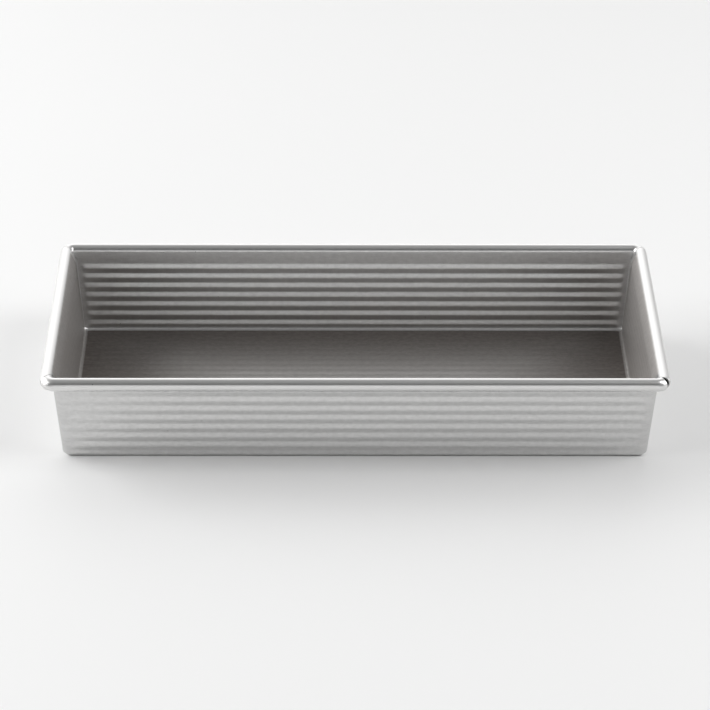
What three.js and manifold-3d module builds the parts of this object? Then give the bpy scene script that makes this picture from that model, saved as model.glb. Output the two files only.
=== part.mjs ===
// Biscotti pan: one blank of fluted aluminised steel, folded up into a shallow flared tray whose edge is
// rolled outward round a steel wire. X runs along the pan, Y across it, and it stands on Z = 0.
import * as THREE from "three";
import { mergeVertices } from "three/addons/utils/BufferGeometryUtils.js";
import Module from "manifold-3d";

const wasm = await Module();
wasm.setup();

// Driving dimensions, in millimetres and degrees
const insideTopLength = 304.8; // clear length between the rolled edges of the ends
const insideTopWidth = 139.7; // clear width between the rolled edges of the long sides
const panHeight = 49.5;
const sheetThickness = 0.6;
const wireDiameter = 5;
const wireClearance = 0.3; // between the wire and the rolled edge
const wallFlare = 4.4; // lean of every wall from upright
const bendRadius = 1.5; // inside radius where the floor turns up into a wall
const cornerRadius = 0.5; // inside radius of the upright corner just under the rim
const flutePitch = 5.55;
const floorFluteDepth = 0.15; // across the floor and up the ends
const wallFluteDepth = 0.42; // along the long walls
const fluteFlat = 0.3; // width of the flat on each crest and in each valley
const plainBand = 1.6; // unfluted strip between the flutes and the rolled edge
const fluteFade = 2.5; // length over which a flute runs out before a corner
const foldGap = 0.2; // space left between layers folded onto each other
const seamGap = 0.5; // space between the ends of the rolled edge at a corner
const curlTuck = 48; // degrees that the rolled edge runs on past the bottom of the wire
const wireJointGap = 0.4; // between the two ends of the wire

// Facets of the round stretches
const bendSteps = 3;
const cornerSteps = 5;
const curlSteps = 14;
const foldSteps = 3;
const wireSides = 12;

// Sheet, wire and bends
const flare = THREE.MathUtils.degToRad(wallFlare);
const half = sheetThickness / 2;
const halfAcross = half / Math.cos(flare); // half the sheet, cut level through a leaning wall
const wireRadius = wireDiameter / 2;
const boreRadius = wireRadius + wireClearance;
const curlRadius = boreRadius + half; // to the middle of the sheet
const beadRadius = boreRadius + sheetThickness;
const wireHeight = panHeight - beadRadius;
const wireX = insideTopLength / 2 + beadRadius;
const wireY = insideTopWidth / 2 + beadRadius;
const bendMiddle = bendRadius + half;
const bendTurn = Math.PI / 2 - flare;
const bendLength = bendMiddle * bendTurn;
const bendReach = bendMiddle * Math.tan(bendTurn / 2);
const bendTop = bendRadius + sheetThickness;

// Corner pleats: two layers folded flat against the outside of each end wall
const layerStep = (sheetThickness + foldGap) / Math.cos(flare);
const pleatShift = 2 * layerStep;
const pleatTop = panHeight - 2 * beadRadius - 2 * foldGap;
const pleatSlope = Math.tan(Math.PI / 4 - flare);

// Distance from the pan's centre to the middle of the sheet, for each kind of wall
function wallMiddle(wire, height) {
  return wire - curlRadius / Math.cos(flare) - (wireHeight - height) * Math.tan(flare);
}
const sideWall = (height) => wallMiddle(wireY, height);
const pleatWall = (height) => wallMiddle(wireX, height);
const endWall = (height) => pleatWall(height) - pleatShift;

// Where the floor ends and the bends begin
const floorY = sideWall(half) - bendReach;
const floorX = endWall(half) - bendReach;

// Bottom of the pleats, and the upright corner under the rim
const toeLength = layerStep / 2;
const toeReach = toeLength + layerStep / 2 + halfAcross + foldGap;
const toeEnd = toeReach + layerStep;
const cornerMiddle = cornerRadius + halfAcross;
const cornerX = pleatWall(pleatTop) - cornerMiddle;
const cornerY = sideWall(pleatTop) - cornerMiddle;

// Flutes run along X over the whole blank: across the floor, up the ends and along the long walls
const stripFlutes = Math.floor((floorY - toeEnd) / flutePitch);
const stripY = stripFlutes * flutePitch;
const fluteTop = panHeight - 2 * beadRadius - plainBand;
const sideFlutes = Math.floor(alongAt(floorY, fluteTop) / flutePitch);
const endFade = flutePitch / 2;

// Distance along the blank at which a wall reaches a height
function alongAt(flat, height) {
  const bendEnd = half + bendMiddle * (1 - Math.sin(flare));
  return flat + bendLength + (height - bendEnd) / Math.cos(flare);
}

// Share of a flute's depth by which the sheet is pressed in, at a distance along the blank from its middle
function fluteShare(along) {
  const share = Math.abs(along) / flutePitch;
  const fromCrest = Math.abs(share - Math.floor(share) - 0.5) * flutePitch;
  const flank = flutePitch / 2 - fluteFlat;
  return THREE.MathUtils.clamp((flutePitch / 2 - fluteFlat / 2 - fromCrest) / flank, 0, 1);
}

// Edges of the flats of the flutes numbered from first up to last
function fluteStops(first, last) {
  const stops = [];
  for (let flute = first; flute < last; flute += 1) {
    const valley = flute * flutePitch;
    const crest = valley + flutePitch / 2;
    stops.push(valley + fluteFlat / 2, crest - fluteFlat / 2);
    stops.push(crest + fluteFlat / 2, valley + flutePitch - fluteFlat / 2);
  }
  return stops;
}

// A stop holds the two skins of the sheet at one place, as distances out from the middle and up
function skinStop(at, out, up, normalOut, normalUp, rise) {
  return {
    at,
    inner: [out + normalOut * (rise + half), up + normalUp * (rise + half)],
    outer: [out + normalOut * (rise - half), up + normalUp * (rise - half)],
  };
}

// Stop on the run that leaves the floor at `flat`, turns up through the bend and climbs the wall
function runStop(flat, along, rise) {
  const turn = THREE.MathUtils.clamp((along - flat) / bendMiddle, 0, bendTurn);
  const wall = Math.max(along - flat - bendLength, 0);
  const out = Math.min(along, flat) + bendMiddle * Math.sin(turn) + wall * Math.sin(flare);
  const up = half + bendMiddle * (1 - Math.cos(turn)) + wall * Math.cos(flare);
  return skinStop(along, out, up, -Math.sin(turn), Math.cos(turn), rise);
}

// Stop on a wall whose two skins lie at the same height
function levelStop(flat, middle, height, rise) {
  const inward = rise / Math.cos(flare);
  return {
    at: alongAt(flat, height),
    inner: [middle - halfAcross - inward, height],
    outer: [middle + halfAcross - inward, height],
  };
}

function bendStops(flat) {
  const stops = [];
  for (let step = 0; step <= bendSteps; step += 1) stops.push(flat + (bendLength * step) / bendSteps);
  return stops;
}

// Rolled edge: from where it leaves the wall, over the wire and back underneath it
function curlStops(wire, start, firstAt) {
  const turn = start + Math.PI / 2 + THREE.MathUtils.degToRad(curlTuck);
  const stops = [];
  for (let step = 0; step <= curlSteps; step += 1) {
    const angle = start - (turn * step) / curlSteps;
    const out = wire + curlRadius * Math.cos(angle);
    const up = wireHeight + curlRadius * Math.sin(angle);
    const at = firstAt + curlRadius * (start - angle);
    stops.push(skinStop(at, out, up, Math.cos(angle), Math.sin(angle), 0));
  }
  return stops;
}

// Lofting: each row holds two skins, and rows are stitched side by side into one closed body
function rowFrom(stops, place) {
  return {
    at: stops.map((stop) => stop.at),
    inner: stops.map((stop) => place(...stop.inner)),
    outer: stops.map((stop) => place(...stop.outer)),
  };
}

function loft(rows) {
  const points = [];
  const triangle = (...corners) => corners.forEach((corner) => points.push(corner.x, corner.y, corner.z));
  const quad = (a, b, c, d) => {
    triangle(a, b, c);
    triangle(a, c, d);
  };
  const stitch = (a, b, atA, atB, faced) => {
    let i = 0;
    let j = 0;
    while (i < a.length - 1 || j < b.length - 1) {
      const onA = j === b.length - 1 || (i < a.length - 1 && atA[i + 1] <= atB[j + 1]);
      const third = onA ? a[i + 1] : b[j + 1];
      if (faced) triangle(a[i], third, b[j]);
      else triangle(a[i], b[j], third);
      if (onA) i += 1;
      else j += 1;
    }
  };
  const cap = (row, faced) => {
    for (let i = 0; i + 1 < row.inner.length; i += 1) {
      if (faced) quad(row.inner[i], row.inner[i + 1], row.outer[i + 1], row.outer[i]);
      else quad(row.inner[i + 1], row.inner[i], row.outer[i], row.outer[i + 1]);
    }
  };
  for (let k = 0; k + 1 < rows.length; k += 1) {
    const a = rows[k];
    const b = rows[k + 1];
    stitch(a.inner, b.inner, a.at, b.at, true);
    stitch(a.outer, b.outer, a.at, b.at, false);
    quad(a.inner[0], b.inner[0], b.outer[0], a.outer[0]);
    quad(b.inner.at(-1), a.inner.at(-1), a.outer.at(-1), b.outer.at(-1));
  }
  cap(rows[0], false);
  cap(rows.at(-1), true);
  const geometry = new THREE.BufferGeometry();
  geometry.setAttribute("position", new THREE.Float32BufferAttribute(points, 3));
  return geometry;
}

// Merged vertices and outward faces; slivers whose corners coincide are dropped
function closedMesh(geometry) {
  const merged = mergeVertices(geometry, 1e-4);
  const place = merged.attributes.position;
  const corners = [0, 1, 2].map(() => new THREE.Vector3());
  const kept = [];
  let volume = 0;
  for (let i = 0; i < merged.index.count; i += 3) {
    const face = [0, 1, 2].map((k) => merged.index.getX(i + k));
    if (new Set(face).size < 3) continue;
    face.forEach((vertex, k) => corners[k].fromBufferAttribute(place, vertex));
    volume += corners[0].dot(corners[1].clone().cross(corners[2]));
    kept.push(face);
  }
  const facing = volume > 0 ? kept : kept.map((face) => face.reverse());
  return { vertices: place.array, triangles: Uint32Array.from(facing.flat()) };
}

function solid(geometry) {
  const { vertices, triangles } = closedMesh(geometry);
  return new wasm.Manifold(new wasm.Mesh({ numProp: 3, vertProperties: vertices, triVerts: triangles }));
}

function meshNamed(name, { vertices, triangles }, material) {
  const geometry = new THREE.BufferGeometry();
  geometry.setAttribute("position", new THREE.Float32BufferAttribute(vertices, 3));
  geometry.setIndex(new THREE.Uint32BufferAttribute(triangles, 1));
  geometry.computeVertexNormals();
  const mesh = new THREE.Mesh(geometry, material);
  mesh.name = name;
  return mesh;
}

// Floor and end walls: one strip of lengthwise flutes, bent up at both ends
function floorStrip() {
  const right = fluteStops(0, stripFlutes);
  const across = [-stripY, ...right.map((y) => -y).reverse(), ...right, stripY];
  const rowAcross = (stopAt, places) => (side) => ({
    at: places,
    inner: places.map((y) => new THREE.Vector3(side * stopAt(y).inner[0], y, stopAt(y).inner[1])),
    outer: places.map((y) => new THREE.Vector3(side * stopAt(y).outer[0], y, stopAt(y).outer[1])),
  });
  const runRow = (along, depth) => rowAcross((y) => runStop(floorX, along, depth * fluteShare(y)), across);
  const levelRow = (height, depth, places) =>
    rowAcross((y) => levelStop(floorX, endWall(height), height, depth * fluteShare(y)), places);
  const rising = [
    ...bendStops(floorX).map((along) => runRow(along, floorFluteDepth)),
    levelRow(bendTop, floorFluteDepth, across),
    levelRow(fluteTop - endFade, floorFluteDepth, across),
    levelRow(fluteTop, 0, across),
    levelRow(pleatTop, 0, [-stripY, stripY]),
  ];
  const left = rising.map((row) => row(-1)).reverse();
  return loft([...left, ...rising.map((row) => row(1))]);
}

// The long side's section: edge of the floor, bend, wall and rolled edge
const sideTop = Math.PI - flare;
const sideEdge = alongAt(floorY, wireHeight + curlRadius * Math.sin(flare));
const sideCurl = curlStops(wireY, sideTop, sideEdge);
const sideUpper = [levelStop(floorY, sideWall(pleatTop), pleatTop, 0), ...sideCurl];
const sidePlain = [
  runStop(floorY, stripY, 0),
  ...bendStops(floorY).map((along) => runStop(floorY, along, 0)),
  levelStop(floorY, sideWall(bendTop), bendTop, 0),
  ...sideUpper,
];

// The flutes deepen as the sheet turns up from the floor
function sideFluteDepth(along) {
  const turned = THREE.MathUtils.clamp((along - floorY) / bendLength, 0, 1);
  return THREE.MathUtils.lerp(floorFluteDepth, wallFluteDepth, turned);
}

function sideFluted(share) {
  const places = [stripY, ...bendStops(floorY), ...fluteStops(stripFlutes, sideFlutes)].sort((a, b) => a - b);
  const rise = (along) => share * sideFluteDepth(along) * fluteShare(along);
  return [...places.map((along) => runStop(floorY, along, rise(along))), ...sideUpper];
}

// Long wall with its share of the floor's edge, between the corner folds
function sideRail() {
  const rowAt = (x, stops) => rowFrom(stops, (out, up) => new THREE.Vector3(x, out, up));
  const fadeStart = floorX - sheetThickness;
  const rows = [
    [floorX, sidePlain],
    [fadeStart, sideFluted(0)],
    [fadeStart - fluteFade, sideFluted(1)],
  ];
  const left = rows.map(([x, stops]) => rowAt(-x, stops));
  const right = rows.map(([x, stops]) => rowAt(x, stops)).reverse();
  return loft([...left, ...right]);
}

// Rolled edge of an end: the wall kicks out over the tops of the pleats to reach the wire
function endRail() {
  const from = [endWall(pleatTop) - wireX, pleatTop - wireHeight];
  const reach = Math.hypot(...from);
  const start = Math.atan2(from[1], from[0]) + 2 * Math.PI - Math.acos(curlRadius / reach);
  const kick = Math.sqrt(reach ** 2 - curlRadius ** 2);
  const foot = levelStop(floorX, endWall(pleatTop), pleatTop, 0);
  const stops = [foot, ...curlStops(wireX, start, foot.at + kick)];
  const edge = cornerY - seamGap;
  return loft([-edge, edge].map((y) => rowFrom(stops, (out, up) => new THREE.Vector3(out, y, up))));
}

// Angles of a quarter turn, from facing along Y to facing along X
const quarter = Array.from({ length: cornerSteps + 1 }, (_, step) => (Math.PI / 2) * (1 - step / cornerSteps));

// Bottom corner where three bends meet, thickened outward under the toe of the pleat
function cornerToe() {
  const section = [...bendStops(0).map((along) => runStop(0, along, 0))];
  section.push(levelStop(0, sideWall(bendTop) - floorY, bendTop, 0));
  const row = (placeInner, placeOuter) => ({
    at: section.map((stop) => stop.at),
    inner: section.map((stop) => placeInner(...stop.inner)),
    outer: section.map((stop, index) => placeOuter(...stop.outer, index === 0 ? 0 : pleatShift)),
  });
  const turned = (angle) => (out, up, shift = 0) =>
    new THREE.Vector3(floorX + shift + out * Math.cos(angle), floorY + out * Math.sin(angle), up);
  const straight = (y) => (out, up, shift = 0) => new THREE.Vector3(floorX + shift + out, y, up);
  const unshifted = (place) => (out, up) => place(out, up);
  const firstTurn = (quarter[0] + quarter[1]) / 2;
  return loft([
    row(turned(quarter[0]), unshifted(turned(quarter[0]))),
    row(turned(firstTurn), turned(quarter[0])),
    ...quarter.slice(1).map((angle) => row(turned(angle), turned(angle))),
    row(straight(floorY - toeReach), straight(floorY - toeReach)),
    row(straight(floorY - toeEnd), unshifted(straight(floorY - toeEnd))),
    row(straight(stripY), unshifted(straight(stripY))),
  ]);
}

// Level cut through a corner: along the long wall, round the corner, out along the pleat's outer layer,
// back along its inner layer, and away along the end wall
function pleatCut(height, centreX, centreY, radius, fold) {
  const side = sideWall(height);
  const outside = pleatWall(height);
  const hairpin = layerStep / 2;
  const tuck = side - 2 * halfAcross - foldGap - hairpin;
  const path = [[floorX, side, 0, -1]];
  quarter.forEach((angle) => {
    const [across, along] = [Math.cos(angle), Math.sin(angle)];
    path.push([centreX + radius * across, centreY + radius * along, -across, -along]);
  });
  for (let step = 0; step <= foldSteps; step += 1) {
    const angle = (-Math.PI * step) / foldSteps;
    const [across, along] = [Math.cos(angle), Math.sin(angle)];
    path.push([outside - hairpin + hairpin * across, fold + hairpin * along, -across, -along]);
  }
  for (let step = 0; step <= foldSteps; step += 1) {
    const angle = (Math.PI * step) / foldSteps;
    const [across, along] = [Math.cos(angle), Math.sin(angle)];
    path.push([outside - 3 * hairpin + hairpin * across, tuck + hairpin * along, across, along]);
  }
  path.push([outside - 4 * hairpin, stripY, -1, 0]);
  const skin = (sign) => ([x, y, normalX, normalY]) =>
    new THREE.Vector3(x + sign * normalX * halfAcross, y + sign * normalY * halfAcross, height);
  return { at: path.map((_, index) => index), inner: path.map(skin(1)), outer: path.map(skin(-1)) };
}

// Corner pleat: a triangle that grows from a toe at the floor to its full width under the rim
function pleat() {
  const toeRadius = sideWall(bendTop) - floorY;
  const toeFold = floorY - toeLength;
  const topFold = toeFold - (pleatTop - bendTop) * pleatSlope;
  return loft([
    pleatCut(bendTop, floorX + pleatShift, floorY, toeRadius, toeFold),
    pleatCut(pleatTop, cornerX, cornerY, cornerMiddle, topFold),
  ]);
}

// Rolled edge of the long side, carried round the corner as far as the seam
function cornerCurl() {
  const straight = rowFrom(sideUpper, (out, up) => new THREE.Vector3(floorX, out, up));
  const turns = quarter.map((angle) =>
    rowFrom(sideUpper, (out, up) => {
      const radius = out - cornerY;
      return new THREE.Vector3(cornerX + radius * Math.cos(angle), cornerY + radius * Math.sin(angle), up);
    }),
  );
  return loft([straight, ...turns]);
}

// The whole folded sheet, joined from its stretches
function panSheet() {
  const joined = [solid(floorStrip())];
  for (const side of [-1, 1]) {
    joined.push(solid(sideRail().scale(1, side, 1)));
    joined.push(solid(endRail().scale(side, 1, 1)));
    for (const end of [-1, 1]) {
      for (const stretch of [cornerToe(), pleat(), cornerCurl()]) joined.push(solid(stretch.scale(end, side, 1)));
    }
  }
  const body = joined.reduce((sum, stretch) => sum.add(stretch));
  const { vertProperties, triVerts } = body.getMesh();
  return { vertices: vertProperties, triangles: triVerts };
}

// Wire: a rounded rectangle with its two ends butted in the middle of the back
function rimWire() {
  const bend = wireY - cornerY;
  const stations = [[wireJointGap / 2, wireY, 0, 1]];
  for (let corner = 0; corner < 4; corner += 1) {
    const signX = corner < 2 ? 1 : -1;
    const signY = corner === 0 || corner === 3 ? 1 : -1;
    quarter.forEach((angle) => {
      const turned = angle - (corner * Math.PI) / 2;
      const [across, along] = [Math.cos(turned), Math.sin(turned)];
      stations.push([signX * cornerX + bend * across, signY * cornerY + bend * along, across, along]);
    });
  }
  stations.push([-wireJointGap / 2, wireY, 0, 1]);
  const arc = Array.from({ length: wireSides / 2 + 1 }, (_, step) => Math.PI * (1 - (2 * step) / wireSides));
  const ring = ([x, y, outX, outY]) => {
    const point = (angle, sign) => {
      const out = wireRadius * Math.cos(angle);
      return new THREE.Vector3(x + out * outX, y + out * outY, wireHeight + sign * wireRadius * Math.sin(angle));
    };
    return {
      at: arc.map((_, index) => index),
      inner: arc.map((angle) => point(angle, 1)),
      outer: arc.map((angle) => point(angle, -1)),
    };
  };
  return closedMesh(loft(stations.map(ring)));
}

const aluminisedSteel = new THREE.MeshStandardMaterial({ color: 0xb9b8b5, roughness: 0.35, metalness: 1 });
const wireSteel = new THREE.MeshStandardMaterial({ color: 0x75757a, roughness: 0.5, metalness: 1 });

const group = new THREE.Group();
group.add(meshNamed("pan_sheet", panSheet(), aluminisedSteel));
group.add(meshNamed("rim_wire", rimWire(), wireSteel));

export default group;
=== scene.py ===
import math

import bmesh
import bpy
from mathutils import Matrix, Vector


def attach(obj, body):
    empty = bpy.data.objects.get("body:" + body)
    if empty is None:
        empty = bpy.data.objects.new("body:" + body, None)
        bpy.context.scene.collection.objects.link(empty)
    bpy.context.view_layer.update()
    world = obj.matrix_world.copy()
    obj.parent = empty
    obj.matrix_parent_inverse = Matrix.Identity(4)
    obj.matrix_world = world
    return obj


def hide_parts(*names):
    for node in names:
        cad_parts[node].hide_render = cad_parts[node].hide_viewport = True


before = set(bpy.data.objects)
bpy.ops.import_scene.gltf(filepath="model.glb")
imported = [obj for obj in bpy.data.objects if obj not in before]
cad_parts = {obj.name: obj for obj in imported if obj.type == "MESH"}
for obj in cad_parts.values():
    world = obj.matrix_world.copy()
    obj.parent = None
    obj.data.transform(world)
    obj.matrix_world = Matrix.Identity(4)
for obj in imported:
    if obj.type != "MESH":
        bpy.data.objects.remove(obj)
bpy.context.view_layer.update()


# Camera: the photograph's view, through a long lens from about 1.6 m, almost square to the pan's long side
# and looking down on it by 29.5 degrees.
camera_sensor = 36
camera_lens = 158.07
camera_distance = 1.645
camera_down = math.radians(29.5)
camera_turn = math.radians(0.531)
camera_roll = math.radians(0.3)
camera_target = Vector((0.000328, 0, 0.021915))

look = Vector((
    math.sin(camera_turn) * math.cos(camera_down),
    math.cos(camera_turn) * math.cos(camera_down),
    -math.sin(camera_down),
))
level_right = look.cross(Vector((0, 0, 1))).normalized()
level_up = level_right.cross(look)
camera_right = level_right * math.cos(camera_roll) + level_up * math.sin(camera_roll)
camera_up = level_up * math.cos(camera_roll) - level_right * math.sin(camera_roll)
camera = bpy.data.objects.new("camera", bpy.data.cameras.new("camera"))
camera.data.sensor_width = camera_sensor
camera.data.lens = camera_lens
camera.data.clip_end = 50
camera.matrix_world = Matrix.Translation(camera_target - look * camera_distance) @ Matrix(
    (camera_right, camera_up, -look)
).transposed().to_4x4()
bpy.context.scene.collection.objects.link(camera)
bpy.context.scene.camera = camera


# Pan sheet: one blank of aluminised steel, pressed with long flutes and folded up into a flared tray.
# The corners are pleated flat against the ends, and the edge is rolled outward round a wire.
# It is drawn as the middle of the sheet, in millimetres, and then thickened.
mm = 0.001
inside_top_length = 304.8
inside_top_width = 139.7
pan_height = 49.5
sheet_thickness = 0.6
wire_diameter = 5
wire_clearance = 0.3
flare = math.radians(4.4)
bend_radius = 1.5
corner_radius = 0.5
flute_pitch = 5.55
side_flute_depth = 0.42
floor_flute_depth = 0.15
flute_flat = 0.3
flute_round = 0.25
plain_band = 1.6
flute_fade = 2.5
run_on_gap = 1
fold_gap = 0.2
curl_tuck = math.radians(48)
toe_top = 2.9

flute_steps = 12
bend_steps = 12
corner_steps = 10
curl_steps = 46
fold_steps = 6
fade_steps = 6
end_fade_steps = 4
coarse_steps = 6
round_samples = 9
least_step = 0.05

half = sheet_thickness / 2
half_across = half / math.cos(flare)
wire_radius = wire_diameter / 2
curl_radius = wire_radius + wire_clearance + half
bead_radius = curl_radius + half
wire_height = pan_height - bead_radius
wire_x = inside_top_length / 2 + bead_radius
wire_y = inside_top_width / 2 + bead_radius
bend_middle = bend_radius + half
bend_turn = math.pi / 2 - flare
bend_length = bend_middle * bend_turn
bend_reach = bend_middle * math.tan(bend_turn / 2)
bend_end = half + bend_middle * (1 - math.sin(flare))
layer_step = (sheet_thickness + fold_gap) / math.cos(flare)
pleat_shift = 2 * layer_step
pleat_top = pan_height - 2 * bead_radius - 2 * fold_gap
pleat_slope = math.tan(math.pi / 4 - flare)


def side_wall(height):
    return wire_y - curl_radius / math.cos(flare) - (wire_height - height) * math.tan(flare)


def end_wall(height):
    return side_wall(height) - wire_y + wire_x - pleat_shift


floor_y = side_wall(half) - bend_reach
floor_x = end_wall(half) - bend_reach
corner_middle = corner_radius + half_across
corner_x = end_wall(pleat_top) + pleat_shift - corner_middle
corner_y = side_wall(pleat_top) - corner_middle
rim_bend = wire_x - corner_x
strip_flutes = 11
strip_y = strip_flutes * flute_pitch
flute_top = pan_height - 2 * bead_radius - plain_band
end_fade = flute_pitch / 2


def smooth_share(share):
    share = min(max(share, 0), 1)
    return share * share * (3 - 2 * share)


def along_at(flat, height):
    return flat + bend_length + (height - bend_end) / math.cos(flare)


# Rounded zigzag of the flutes: straight flanks, with their corners softened over flute_round
def flute_rise(along):
    flank = flute_pitch / 2 - flute_flat
    total = 0
    for sample in range(round_samples):
        shift = flute_round * (sample - round_samples // 2) / round_samples
        share = abs(along + shift) / flute_pitch
        from_crest = abs(share - math.floor(share) - 0.5) * flute_pitch
        total += min(max((flute_pitch / 2 - flute_flat / 2 - from_crest) / flank, 0), 1)
    return total / round_samples


# Out from the middle and up, on the run that leaves the floor at flat, bends and climbs the wall
def run_place(flat, along, rise=0.0):
    turn = min(max((along - flat) / bend_middle, 0), bend_turn)
    wall = max(along - flat - bend_length, 0)
    out = min(along, flat) + bend_middle * math.sin(turn) + wall * math.sin(flare)
    up = half + bend_middle * (1 - math.cos(turn)) + wall * math.cos(flare)
    return out - math.sin(turn) * rise, up + math.cos(turn) * rise


sheet_points = []
sheet_blank = []
sheet_faces = []


# Rows of (place along the row, point, place on the flat blank) become faces; unequal rows are stitched
def lay(rows, end=1, side=1):
    starts = []
    for row in rows:
        starts.append(len(sheet_points))
        for _, (x, y, z), (u, v) in row:
            sheet_points.append((end * x * mm, side * y * mm, z * mm))
            sheet_blank.append((end * u * mm, side * v * mm, 0))
    for near, far, a, b in zip(rows, rows[1:], starts, starts[1:]):
        if len(near) == len(far):
            for k in range(len(near) - 1):
                sheet_faces.append((a + k, a + k + 1, b + k + 1, b + k))
            continue
        i = j = 0
        while i < len(near) - 1 or j < len(far) - 1:
            on_near = j == len(far) - 1 or (i < len(near) - 1 and near[i + 1][0] <= far[j + 1][0])
            third = a + i + 1 if on_near else b + j + 1
            sheet_faces.append((a + i, third, b + j))
            i, j = (i + 1, j) if on_near else (i, j + 1)


bend_offsets = [bend_length * step / bend_steps for step in range(bend_steps + 1)]
edge_places = [strip_y + flute_pitch * step / flute_steps for step in range(flute_steps)]
edge_places = [place for place in edge_places if place < floor_y - least_step]

# Heights up a wall at which the sheet has a row of points, closer together where the flutes fade out
wall_heights = [2.4, toe_top, 5, 9, 14, 20, 26, 32]
wall_heights += [flute_top - end_fade * (1 - step / end_fade_steps) for step in range(end_fade_steps + 1)]
wall_heights.append(pleat_top)

# Stations along the pan, with the share of full depth that the long walls' flutes have there
fade_start = floor_x - sheet_thickness
stations = [(floor_x, 0.0)]
for step in range(fade_steps + 1):
    stations.append((fade_start - flute_fade * step / fade_steps, smooth_share(step / fade_steps)))
plain_x = 120
stations += [(x, 1.0) for x in (plain_x, 90, 60, 30)]
stations = [(-x, share) for x, share in stations] + [(0, 1.0)] + stations[::-1]

# Floor and end walls: a strip of flutes bent up at both ends
strip_steps = strip_flutes * flute_steps
strip_fine = [strip_y * step / strip_steps for step in range(-strip_steps, strip_steps + 1)]
strip_rise = [floor_flute_depth * flute_rise(y) for y in strip_fine]
strip_coarse = [strip_y * step / coarse_steps for step in range(-coarse_steps, coarse_steps + 1)]


def end_row(end, along, height):
    row = []
    fade = 1 - smooth_share((height - flute_top + end_fade) / end_fade)
    for y, rise in zip(strip_fine, strip_rise):
        out, up = run_place(floor_x, along, rise * fade)
        row.append((y, (end * out, y, up), (end * along, y)))
    return row


def end_top(end):
    along = along_at(floor_x, pleat_top)
    return [(y, (end * end_wall(pleat_top), y, pleat_top), (end * along, y)) for y in strip_coarse]


def end_rows(end):
    rows = [end_row(end, floor_x + offset, 0) for offset in bend_offsets[1:]]
    rows += [end_row(end, along_at(floor_x, height), height) for height in wall_heights[:-1]]
    return rows + [end_top(end)]


def floor_row(x):
    return [(y, (x, y, half + rise), (x, y)) for y, rise in zip(strip_fine, strip_rise)]


lay(end_rows(-1)[::-1] + [floor_row(x) for x, _ in stations] + end_rows(1))

# Rolled edge: from the wall over the wire and back under it, as angles round the wire
curl_end = -math.pi / 2 - curl_tuck


def curl_angles(start):
    return [start + (curl_end - start) * step / curl_steps for step in range(curl_steps + 1)]


def curl_place(wire, angle):
    return wire + curl_radius * math.cos(angle), wire_height + curl_radius * math.sin(angle)


# Long walls, each with its edge of the floor and its rolled edge
side_start = math.pi - flare
side_top_at = along_at(floor_y, wire_height + curl_radius * math.sin(flare))
side_curl = [
    (side_top_at + curl_radius * (side_start - angle), *curl_place(wire_y, angle))
    for angle in curl_angles(side_start)
]
side_upper = [(along_at(floor_y, pleat_top), side_wall(pleat_top), pleat_top)] + side_curl
side_fine = edge_places + [floor_y + offset for offset in bend_offsets]
place = math.ceil((floor_y + bend_length) / flute_pitch * flute_steps) * flute_pitch / flute_steps
while place < along_at(floor_y, flute_top):
    side_fine.append(place)
    place += flute_pitch / flute_steps
side_last_flute = math.floor(along_at(floor_y, flute_top) / flute_pitch) * flute_pitch
side_coarse = edge_places + [floor_y + offset for offset in bend_offsets]
side_coarse += [along_at(floor_y, height) for height in wall_heights[:-1]]


# How far the long walls' flutes run on past the end of the floor, as the end walls lean out
def side_run_on(up):
    if up > flute_top:
        return 0
    return max(end_wall(up) - run_on_gap - floor_x, 0)


def side_row(x, share):
    row = []
    run_share = max(abs(x) - plain_x, 0) / (floor_x - plain_x)
    for along in side_coarse if abs(x) == floor_x else side_fine:
        deepen = smooth_share((along - floor_y) / bend_length)
        depth = floor_flute_depth + (side_flute_depth - floor_flute_depth) * deepen
        rise = share * depth * flute_rise(along) if along < side_last_flute else 0
        out, up = run_place(floor_y, along, rise)
        reach = x + math.copysign(run_share * side_run_on(up), x)
        row.append((along, (reach, out, up), (reach, along)))
    return row + [(along, (x, out, up), (x, along)) for along, out, up in side_upper]


for side in (-1, 1):
    lay([side_row(x, share) for x, share in stations], side=side)

# Corner seams, where the rolled edge of the end meets that of the long side: how far round the corner the
# seam lies and how wide it gapes, in millimetres, at angles round the wire from the wall to the tucked edge
seam_angles = (230, 182, 150, 120, 90, 45, 0, -60, -140)
back_seam = (
    (-0.25, -0.3, -0.8, 0.2, 1.2, 1.6, 1.8, 1.9, 2.0),
    (0.5, 0.4, 0.3, 0.3, 0.3, 0.3, 0.3, 0.3, 0.3),
)
front_left_seam = (
    (-0.25, -0.3, -2.2, -0.8, 1.1, 1.6, 1.8, 1.9, 2.0),
    (0.5, 0.3, 0.35, 0.35, 0.35, 0.25, 0.2, 0.2, 0.2),
)
front_right_seam = (
    (-0.25, -0.2, 0.7, 1.9, 2.75, 2.65, 2.4, 2.3, 2.2),
    (0.5, 0.3, 0.12, 0.3, 0.8, 1.5, 1.6, 1.2, 0.9),
)
seams = {(-1, -1): front_left_seam, (1, -1): front_right_seam, (-1, 1): back_seam, (1, 1): back_seam}


def seam_at(corner, angle):
    degrees = math.degrees(angle)
    rounds, gapes = seams[corner]
    for k in range(len(seam_angles) - 1):
        if degrees >= seam_angles[k + 1]:
            share = (seam_angles[k] - degrees) / (seam_angles[k] - seam_angles[k + 1])
            return tuple(values[k] + (values[k + 1] - values[k]) * share for values in (rounds, gapes))
    return rounds[-1], gapes[-1]


# Point on the rim's run: along the end for negative distances, then round the corner towards the long side
def rim_point(reach, distance, up):
    if distance < 0:
        return reach, corner_y + distance, up
    turn = distance / rim_bend
    return corner_x + (reach - corner_x) * math.cos(turn), corner_y + (reach - corner_x) * math.sin(turn), up


quarter_run = rim_bend * math.pi / 2
full_angle = math.radians(seam_angles[0])


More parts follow.
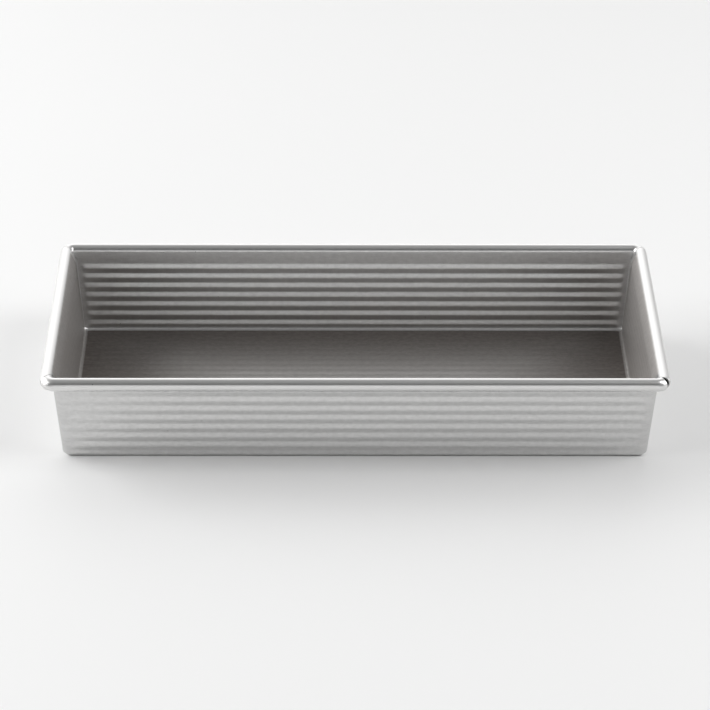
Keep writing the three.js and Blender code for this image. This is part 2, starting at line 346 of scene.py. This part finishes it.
def corner_curl(corner):
    stops = [(full_angle, side_upper[0])] + list(zip(curl_angles(side_start), side_curl))
    rows = [[(along, (floor_x, out, up), (floor_x, along)) for _, (along, out, up) in stops]]
    for step in range(corner_steps + 1):
        row = []
        for angle, (along, out, up) in stops:
            middle, gape = seam_at(corner, angle)
            distance = quarter_run + (middle + gape / 2 - quarter_run) * step / corner_steps
            point = rim_point(corner_x + out - corner_y, distance, up)
            row.append((along, point, (floor_x + quarter_run - distance + rim_bend, along)))
        rows.append(row)
    return rows


# Rolled edge of an end: the wall kicks out over the pleats to reach the wire
foot_out = end_wall(pleat_top) - wire_x
foot_up = pleat_top - wire_height
foot_reach = math.hypot(foot_out, foot_up)
end_start = math.atan2(foot_up, foot_out) + 2 * math.pi - math.acos(curl_radius / foot_reach)
kick = math.sqrt(foot_reach ** 2 - curl_radius ** 2)
edge_shares = (0, 0.06, 0.12, 0.18, 0.25, 0.33, 0.45, 0.6, 0.8, 1)


def end_stops():
    foot_at = along_at(floor_x, pleat_top)
    stops = [(full_angle, foot_at, end_wall(pleat_top), pleat_top)]
    for angle in curl_angles(end_start):
        stops.append((angle, foot_at + kick + curl_radius * (end_start - angle), *curl_place(wire_x, angle)))
    return stops


def seam_distance(corner, angle, share):
    middle, gape = seam_at(corner, angle)
    edge = middle - gape / 2
    return edge + (strip_y - corner_y - edge) * share


def end_rail(end):
    stops = end_stops()
    rows = []
    for side in (-1, 1):
        ends = []
        for share in edge_shares[:-1]:
            row = []
            for angle, along, out, up in stops:
                distance = seam_distance((end, side), angle, share)
                x, y, z = rim_point(out, distance, up)
                row.append((along, (end * x, side * y, z), (end * along, side * (corner_y + distance))))
            ends.append(row)
        if side < 0:
            rows += ends
            for y in strip_coarse:
                rows.append([(along, (end * out, y, up), (end * along, y)) for _, along, out, up in stops])
        else:
            rows += ends[::-1]
    return rows


for end in (-1, 1):
    lay(end_rail(end))


# Level cut through a corner: long wall, corner, out along the pleat and back, and away along the end wall.
# Share is how far the pleat has opened out of the plain corner there.
def corner_cut(corner, height, side_at, end_at, radius, up, share, climb):
    outside = end_at + share * pleat_shift
    hairpin = share * layer_step / 2
    centre_y = side_at - radius
    fold = floor_y - layer_step / 2 - (height - bend_end) * pleat_slope
    fold = centre_y + (fold - centre_y) * share
    tuck = side_at - 2 * half_across - fold_gap - layer_step / 2
    tuck = max(fold, centre_y + (tuck - centre_y) * share)
    path = [(floor_x + side_run_on(up), side_at)]
    for step in range(corner_steps + 1):
        turn = math.pi / 2 * (1 - step / corner_steps)
        path.append((outside - radius + radius * math.cos(turn), centre_y + radius * math.sin(turn)))
    for step in range(fold_steps + 1):
        turn = -math.pi * step / fold_steps
        path.append((outside - hairpin + hairpin * math.cos(turn), fold + hairpin * math.sin(turn)))
    for step in range(fold_steps + 1):
        turn = math.pi * step / fold_steps
        path.append((outside - 3 * hairpin + hairpin * math.cos(turn), tuck + hairpin * math.sin(turn)))
    for place, edge_share in zip(edge_places[::-1], edge_shares):
        top = corner_y + seam_distance(corner, full_angle, edge_share)
        path.append((end_at, place + (top - place) * climb))
    along_side = along_at(floor_y, up)
    along_end = along_at(floor_x, up)
    cut = []
    for index, (x, y) in enumerate(path):
        part = index / (len(path) - 1)
        blank = (floor_x + (along_end - floor_x) * part, along_side + (strip_y - along_side) * part)
        cut.append((index, (x, y, up), blank))
    return cut


def corner_rows(corner):
    rows = []
    for offset in bend_offsets:
        out, up = run_place(0, offset)
        share = smooth_share((up - half) / (toe_top - half))
        rows.append(corner_cut(corner, bend_end, floor_y + out, floor_x + out, out, up, share, 0))
    toe_radius = bend_middle * math.sin(bend_turn)
    for height in wall_heights:
        climb = (height - bend_end) / (pleat_top - bend_end)
        radius = toe_radius + (corner_middle - toe_radius) * climb
        share = smooth_share((height - half) / (toe_top - half))
        side_at = side_wall(height)
        end_at = end_wall(height)
        rows.append(corner_cut(corner, height, side_at, end_at, radius, height, share, climb))
    return rows


for end in (-1, 1):
    for side in (-1, 1):
        lay(corner_curl((end, side)), end, side)
        lay(corner_rows((end, side)), end, side)

sheet_mesh = bpy.data.meshes.new("pan_sheet_formed")
sheet_mesh.from_pydata(sheet_points, [], sheet_faces)
blank_places = sheet_mesh.attributes.new("blank_place", "FLOAT_VECTOR", "POINT")
for item, value in zip(blank_places.data, sheet_blank):
    item.vector = value
merge_gap = 0.0005 * mm
forming = bmesh.new()
forming.from_mesh(sheet_mesh)
bmesh.ops.remove_doubles(forming, verts=forming.verts, dist=merge_gap)
bmesh.ops.dissolve_degenerate(forming, edges=forming.edges, dist=merge_gap)
bmesh.ops.recalc_face_normals(forming, faces=forming.faces)
forming.to_mesh(sheet_mesh)
forming.free()

pan_sheet = bpy.data.objects.new("pan_sheet_formed", sheet_mesh)
bpy.context.scene.collection.objects.link(pan_sheet)
thicken = pan_sheet.modifiers.new("sheet thickness", "SOLIDIFY")
thicken.thickness = sheet_thickness * mm
thicken.offset = 0
thicken.use_even_offset = False
formed = bpy.data.meshes.new_from_object(pan_sheet.evaluated_get(bpy.context.evaluated_depsgraph_get()))
pan_sheet.modifiers.clear()
pan_sheet.data = formed
sharp_angle = math.radians(50)
formed.polygons.foreach_set("use_smooth", [True] * len(formed.polygons))
formed.set_sharp_from_angle(angle=sharp_angle)

# Where the finish differs: the inside is dulled by baking and coloured lighter as painted light, with a warm
# tone on the floor and the ends. The floor is darkened towards its edges and the ends are darkened, in a
# brownish tone, as painted shade, and the rolled edge is burnished
# Share of the baked dull finish, and of its painted light, on the long walls' insides
baked_and_painted_light_walls = 0.7
# Painted shade: how dark the ends are, how dark the middle of the floor is, and how far from the walls the
# floor's painted shade fades out
painted_shade_ends = 0.45
painted_shade_middle = 0.05
painted_shade_length = 110
painted_shade_width = 65
side_overlap = 0.3
end_overlap = 0.1
burnish_start = 0.4
burnish_fade = 0.8
layer = len(sheet_mesh.vertices)
centre = min(range(layer), key=lambda k: sheet_mesh.vertices[k].co.length)
first_is_inside = formed.vertices[centre].co.z > formed.vertices[centre + layer].co.z
finish_shares = {"baked_and_painted_light": [], "toned": [], "browned_and_painted_shade": [], "burnished": []}
for index, vertex in enumerate(formed.vertices):
    along = abs(vertex.co.x) / mm
    across = abs(vertex.co.y) / mm
    inside = (index < layer) == first_is_inside
    on_side = across > floor_y - side_overlap
    to_wall = min((floor_x - along) / painted_shade_length, (floor_y - across) / painted_shade_width)
    # Share of painted shade on the floor: full at the walls, fading to the middle
    floor_painted_shade = 1 - (1 - painted_shade_middle) * smooth_share(to_wall)
    past_wall = max(along - wire_x, across - wire_y) + curl_radius
    burnished = smooth_share((past_wall - burnish_start) / burnish_fade)
    # The baked share makes the inside rougher and also paints it lighter as painted light
    baked_and_painted_light = inside * (baked_and_painted_light_walls if on_side else 1) * (1 - burnished)
    toned = 0 if on_side else baked_and_painted_light
    # The browned share is painted shade in a brownish tone, on the floor and the ends
    browned_and_painted_shade = toned * (floor_painted_shade if along < floor_x - end_overlap else painted_shade_ends)
    for shares, share in zip(finish_shares.values(), (baked_and_painted_light, toned, browned_and_painted_shade, burnished)):
        shares.append(share)
for name, shares in finish_shares.items():
    formed.attributes.new(name, "FLOAT", "POINT").data.foreach_set("value", shares)

# Grain of rolled metal, shared by the sheet and the wire: soft mottling, streaks along the rolling direction,
# fine grain, broad shallow dents and a few small pits, all from 0 to 1
metal_grain = bpy.data.node_groups.new("metal_grain", "ShaderNodeTree")
metal_grain.interface.new_socket("Place", in_out="INPUT", socket_type="NodeSocketVector")
grain_in = metal_grain.nodes.new("NodeGroupInput")
grain_out = metal_grain.nodes.new("NodeGroupOutput")
for name, stretch, scale, detail, low, high in (
    ("Mottling", (0.8, 1.2, 1.2), 420, 5, 0.34, 0.66),
    ("Streaks", (0.045, 1, 1), 2600, 3, 0.3, 0.7),
    ("Grain", (0.7, 1, 1), 1100, 3, 0.3, 0.7),
    ("Dents", (1, 1, 1), 55, 2, 0.25, 0.75),
    ("Pits", (1, 1, 1), 520, 1, 0.79, 0.83),
):
    metal_grain.interface.new_socket(name, in_out="OUTPUT", socket_type="NodeSocketFloat")
    place_map = metal_grain.nodes.new("ShaderNodeMapping")
    place_map.inputs["Scale"].default_value = stretch
    metal_grain.links.new(grain_in.outputs["Place"], place_map.inputs["Vector"])
    noise = metal_grain.nodes.new("ShaderNodeTexNoise")
    noise.inputs["Scale"].default_value = scale
    noise.inputs["Detail"].default_value = detail
    noise.inputs["Roughness"].default_value = 0.62
    metal_grain.links.new(place_map.outputs["Vector"], noise.inputs["Vector"])
    level = metal_grain.nodes.new("ShaderNodeMapRange")
    level.inputs["From Min"].default_value = low
    level.inputs["From Max"].default_value = high
    metal_grain.links.new(noise.outputs["Fac"], level.inputs["Value"])
    metal_grain.links.new(level.outputs["Result"], grain_out.inputs[name])

sheet_metal = bpy.data.materials.new("aluminised_sheet_satin")
sheet_metal.use_nodes = True
nodes = sheet_metal.node_tree.nodes
links = sheet_metal.node_tree.links
shader = nodes["Principled BSDF"]
shader.inputs["Metallic"].default_value = 1
blank = nodes.new("ShaderNodeAttribute")
blank.attribute_name = "blank_place"
grain = nodes.new("ShaderNodeGroup")
grain.node_tree = metal_grain
links.new(blank.outputs["Vector"], grain.inputs["Place"])


# Share of one of the sheet's finishes, painted light and painted shade included; this and the next three add
# nodes to the material in hand
def finish_share(name):
    attribute = nodes.new("ShaderNodeAttribute")
    attribute.attribute_name = name
    return attribute.outputs["Fac"]


# One colour shading over another by a share from 0 to 1; a Mix node takes its colours at inputs 6 and 7
# and gives the mixed one at output 2
def shade(share, low, high):
    mix = nodes.new("ShaderNodeMix")
    mix.data_type = "RGBA"
    links.new(share, mix.inputs["Factor"])
    for socket, colour in ((mix.inputs[6], low), (mix.inputs[7], high)):
        if isinstance(colour, tuple):
            socket.default_value = (*colour, 1)
        else:
            links.new(colour, socket)
    return mix.outputs[2]


def level_between(share, low, high):
    level = nodes.new("ShaderNodeMapRange")
    level.inputs["To Min"].default_value = low
    level.inputs["To Max"].default_value = high
    links.new(share, level.inputs["Value"])
    return level.outputs["Result"]


def add_levels(first, second):
    add = nodes.new("ShaderNodeMath")
    links.new(first, add.inputs[0])
    links.new(second, add.inputs[1])
    return add.outputs["Value"]


baked_and_painted_light_share = finish_share("baked_and_painted_light")
browned_and_painted_shade_share = finish_share("browned_and_painted_shade")
burnished_share = finish_share("burnished")
streaks = grain.outputs["Streaks"]
fine_grain = grain.outputs["Grain"]
spots = add_levels(level_between(grain.outputs["Mottling"], 0, 0.6), level_between(streaks, 0, 0.4))
bare = shade(spots, (0.57, 0.568, 0.564), (0.7, 0.698, 0.694))
# Dark brownish colour of the painted shade on the floor and the ends
painted_shade_brown = shade(spots, (0.15, 0.136, 0.126), (0.24, 0.219, 0.204))
# Lighter colour of the inside faces, painted light
painted_light_inside = shade(spots, (0.65, 0.648, 0.645), (0.79, 0.788, 0.785))
warm = shade(spots, (0.575, 0.558, 0.545), (0.7, 0.683, 0.669))
metal_colour = shade(baked_and_painted_light_share, bare, painted_light_inside)
metal_colour = shade(finish_share("toned"), metal_colour, warm)
metal_colour = shade(browned_and_painted_shade_share, metal_colour, painted_shade_brown)
metal_colour = shade(burnished_share, metal_colour, (0.74, 0.737, 0.73))
metal_colour = shade(grain.outputs["Pits"], metal_colour, (0.3, 0.295, 0.29))
links.new(metal_colour, shader.inputs["Base Color"])
roughness = add_levels(level_between(fine_grain, 0.13, 0.21), level_between(baked_and_painted_light_share, 0, 0.22))
roughness = add_levels(roughness, level_between(browned_and_painted_shade_share, 0, 0.25))
roughness = add_levels(roughness, level_between(burnished_share, 0, 0.18))
links.new(roughness, shader.inputs["Roughness"])
heights = add_levels(level_between(fine_grain, 0, 0.2), level_between(streaks, 0, 0.45))
heights = add_levels(heights, level_between(grain.outputs["Dents"], 0, 0.12))
bump = nodes.new("ShaderNodeBump")
bump.inputs["Strength"].default_value = 1
bump.inputs["Distance"].default_value = 0.012 * mm
links.new(heights, bump.inputs["Height"])
links.new(bump.outputs["Normal"], shader.inputs["Normal"])
formed.materials.append(sheet_metal)
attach(pan_sheet, "root")
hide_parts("pan_sheet")


# Rim wire: a drawn steel wire bent into a rounded rectangle, its ends butted in the middle of the back.
# The rolled edge holds it, and it shows only in the corner seams and from below; it is coloured near-black as
# painted shade, so that the seams' gaps read dark.
wire_joint = 0.4
wire_sides = 20
wire_turns = 8
wire_path = [(wire_joint / 2, wire_y, 0, 1)]
for corner in range(4):
    sign_x = 1 if corner < 2 else -1
    sign_y = 1 if corner in (0, 3) else -1
    for step in range(wire_turns + 1):
        turn = math.pi / 2 * (1 - corner - step / wire_turns)
        wire_path.append((
            sign_x * corner_x + rim_bend * math.cos(turn),
            sign_y * corner_y + rim_bend * math.sin(turn),
            math.cos(turn),
            math.sin(turn),
        ))
wire_path.append((-wire_joint / 2, wire_y, 0, 1))
wire_points = []
for x, y, out_x, out_y in wire_path:
    for step in range(wire_sides):
        angle = 2 * math.pi * step / wire_sides
        out = wire_radius * math.cos(angle)
        up = wire_height + wire_radius * math.sin(angle)
        wire_points.append(((x + out * out_x) * mm, (y + out * out_y) * mm, up * mm))
wire_faces = []
for ring in range(len(wire_path) - 1):
    for step in range(wire_sides):
        a = ring * wire_sides + step
        b = ring * wire_sides + (step + 1) % wire_sides
        wire_faces.append((a, b, b + wire_sides, a + wire_sides))
wire_faces.append(tuple(range(wire_sides)))
wire_faces.append(tuple(range(len(wire_points) - wire_sides, len(wire_points))))
wire_mesh = bpy.data.meshes.new("rim_wire_bent")
wire_mesh.from_pydata(wire_points, [], wire_faces)
bending = bmesh.new()
bending.from_mesh(wire_mesh)
bmesh.ops.recalc_face_normals(bending, faces=bending.faces)
bending.to_mesh(wire_mesh)
bending.free()
wire_mesh.polygons.foreach_set("use_smooth", [True] * len(wire_mesh.polygons))
wire_mesh.set_sharp_from_angle(angle=sharp_angle)
rim_wire = bpy.data.objects.new("rim_wire_bent", wire_mesh)
bpy.context.scene.collection.objects.link(rim_wire)

wire_metal = bpy.data.materials.new("drawn_wire_painted_shade")
wire_metal.use_nodes = True
nodes = wire_metal.node_tree.nodes
links = wire_metal.node_tree.links
shader = nodes["Principled BSDF"]
shader.inputs["Metallic"].default_value = 1
inside_rim = nodes.new("ShaderNodeTexCoord")
grain = nodes.new("ShaderNodeGroup")
grain.node_tree = metal_grain
links.new(inside_rim.outputs["Object"], grain.inputs["Place"])
# Near-black wire colour, painted shade for the dark corner seam gaps
wire_painted_shade_colour = shade(grain.outputs["Mottling"], (0.02, 0.0195, 0.019), (0.035, 0.034, 0.033))
links.new(wire_painted_shade_colour, shader.inputs["Base Color"])
links.new(level_between(grain.outputs["Streaks"], 0.55, 0.7), shader.inputs["Roughness"])
bump = nodes.new("ShaderNodeBump")
bump.inputs["Distance"].default_value = 0.02 * mm
links.new(grain.outputs["Grain"], bump.inputs["Height"])
links.new(bump.outputs["Normal"], shader.inputs["Normal"])
wire_mesh.materials.append(wire_metal)
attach(rim_wire, "root")
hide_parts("rim_wire")


# Table and light: a plain pale table top in a dim studio, with a bright window behind the pan, a large
# soft box on the left and two weaker ones on the right.
table_half = 6
table_corners = [(x * table_half, y * table_half, 0) for x, y in ((-1, -1), (1, -1), (1, 1), (-1, 1))]
table_mesh = bpy.data.meshes.new("table_top")
table_mesh.from_pydata(table_corners, [], [(0, 1, 2, 3)])
table = bpy.data.objects.new("table_top", table_mesh)
bpy.context.scene.collection.objects.link(table)
table_paint = bpy.data.materials.new("pale_table")
table_paint.use_nodes = True
shader = table_paint.node_tree.nodes["Principled BSDF"]
shader.inputs["Base Color"].default_value = (0.87, 0.87, 0.868, 1)
shader.inputs["Roughness"].default_value = 0.6
shader.inputs["Specular IOR Level"].default_value = 0.2
table_mesh.materials.append(table_paint)

# Brightness of the room by direction, from straight away from the window at 0 to straight towards it at 1
window_direction = Vector((-0.1, 0.95, 0.3)).normalized()
room_levels = ((0, 0.93), (0.15, 0.01), (0.45, 0.15), (0.7, 0.16), (0.85, 0.19), (0.95, 0.64), (1, 1))
room_strength = 1.79
room = bpy.data.worlds.new("soft_room")
bpy.context.scene.world = room
room.use_nodes = True
nodes = room.node_tree.nodes
links = room.node_tree.links
nodes.clear()
direction = nodes.new("ShaderNodeTexCoord")
towards_window = nodes.new("ShaderNodeVectorMath")
towards_window.operation = "DOT_PRODUCT"
towards_window.inputs[1].default_value = window_direction
links.new(direction.outputs["Generated"], towards_window.inputs[0])
spread = nodes.new("ShaderNodeMapRange")
spread.inputs["From Min"].default_value = -1
spread.inputs["From Max"].default_value = 1
links.new(towards_window.outputs["Value"], spread.inputs["Value"])
levels = nodes.new("ShaderNodeValToRGB")
ramp = levels.color_ramp.elements
for position, _ in room_levels[1:-1]:
    ramp.new(position)
for stop, (_, value) in zip(ramp, room_levels):
    stop.color = (value, value, value, 1)
links.new(spread.outputs["Result"], levels.inputs["Fac"])
room_light = nodes.new("ShaderNodeBackground")
room_light.inputs["Strength"].default_value = room_strength
links.new(levels.outputs["Color"], room_light.inputs["Color"])
room_out = nodes.new("ShaderNodeOutputWorld")
links.new(room_light.outputs["Background"], room_out.inputs["Surface"])

for name, place, width, height, power in (
    ("left_softbox", (-1.8, 0.3, 0.85), 2.2, 1.5, 45),
    ("right_softbox", (1.5, -0.3, 1.2), 0.9, 2.0, 17.2),
    ("low_right_softbox", (1.7, 0.4, 0.6), 1.2, 1.0, 6.3),
):
    lamp_data = bpy.data.lights.new(name, "AREA")
    lamp_data.shape = "RECTANGLE"
    lamp_data.size = width
    lamp_data.size_y = height
    lamp_data.energy = power
    lamp = bpy.data.objects.new(name, lamp_data)
    lamp.location = place
    lamp.rotation_euler = (-lamp.location).to_track_quat("-Z", "Y").to_euler()
    bpy.context.scene.collection.objects.link(lamp)

bpy.context.scene.view_settings.view_transform = "Standard"

bpy.context.view_layer.update()
